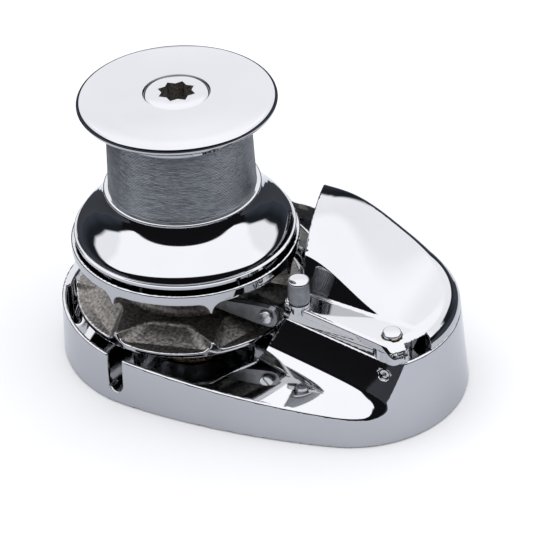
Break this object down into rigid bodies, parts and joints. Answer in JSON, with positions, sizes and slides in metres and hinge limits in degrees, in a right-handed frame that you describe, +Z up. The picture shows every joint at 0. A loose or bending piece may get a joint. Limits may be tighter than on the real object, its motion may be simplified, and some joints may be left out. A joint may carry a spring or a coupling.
{
  "type": "vertical anchor windlass",
  "caption": "Vertical anchor windlass deck unit: drum over a chainwheel on a teardrop base, with a swinging chain-pipe cover, pressure arm and lock knob.",
  "frame": {"origin": "On the main shaft's axis at the deck plane, at the underside of the shaft's lower end.", "axes": "+X from the shaft to the hood end of the base, +Z up along the shaft, so the chain comes in on the -Y side."},
  "size_m": [0.2792, 0.1748, 0.1905],
  "materials": {
    "polished_casting": "mirror-polished stainless casting",
    "cast_chainwheel": "rough cast pockets with polished flanges",
    "plain_steel": "turned steel",
    "satin_steel": "satin steel",
    "bush_bronze": "machined bronze",
    "gasket_rubber": "moulded rubber"
  },
  "bodies": {
    "base": {"base_casting": "polished_casting", "deck_gasket": "gasket_rubber", "shaft_bush": "bush_bronze", "shaft_seal": "gasket_rubber", "lower_thrust_washer": "bush_bronze", "pivot_pin": "polished_casting", "pivot_set_screw": "plain_steel", "arm_spring": "plain_steel"},
    "shaft": {"main_shaft": "plain_steel", "shaft_circlip": "plain_steel", "lower_cone_key": "plain_steel", "upper_cone_key": "plain_steel", "drum_key": "plain_steel", "lower_clutch_cone": "plain_steel", "upper_clutch_cone": "plain_steel", "drum": "polished_casting"},
    "chainwheel": {"gypsy": "cast_chainwheel", "gypsy_bush": "bush_bronze"},
    "clutch": {"clutch_nut": "polished_casting", "clutch_washer": "bush_bronze"},
    "cover": {"chain_pipe_cover": "polished_casting", "cover_bush": "bush_bronze", "plunger_bush": "plain_steel", "plunger_spring": "plain_steel"},
    "plunger": {"lock_knob": "satin_steel", "plunger_pin": "plain_steel"},
    "arm": {"pressure_arm": "polished_casting", "arm_bush": "bush_bronze", "stripper_plate": "satin_steel", "stripper_screw": "satin_steel"}
  },
  "joints": [
    {"name": "shaft_spin", "type": "hinge", "parent": "base", "child": "shaft", "pos_m": [0, 0, 0], "axis": [0, 0, 1], "continuous": true},
    {"name": "chainwheel_spin", "type": "hinge", "parent": "shaft", "child": "chainwheel", "pos_m": [0, 0, 0.06], "axis": [0, 0, 1], "continuous": true},
    {"name": "clutch_turn", "type": "hinge", "parent": "shaft", "child": "clutch", "pos_m": [0, 0, 0.18], "axis": [0, 0, 1], "range_deg": [0, 180]},
    {"name": "cover_swing", "type": "hinge", "parent": "base", "child": "cover", "pos_m": [0.1595, -0.037, 0.067], "axis": [0, 0, 1], "range_deg": [-88, 0]},
    {"name": "knob_pull", "type": "slide", "parent": "cover", "child": "plunger", "axis": [0, 0, 1], "range_m": [0, 0.006], "stiffness_N_per_m": 300, "springref_m": -0.004, "deforming": ["plunger_spring"]},
    {"name": "arm_swing", "type": "hinge", "parent": "base", "child": "arm", "pos_m": [0.1595, -0.037, 0.06], "axis": [0, 0, 1], "range_deg": [0, 7], "stiffness_Nm_per_rad": 1, "springref_deg": -17.19}
  ]
}
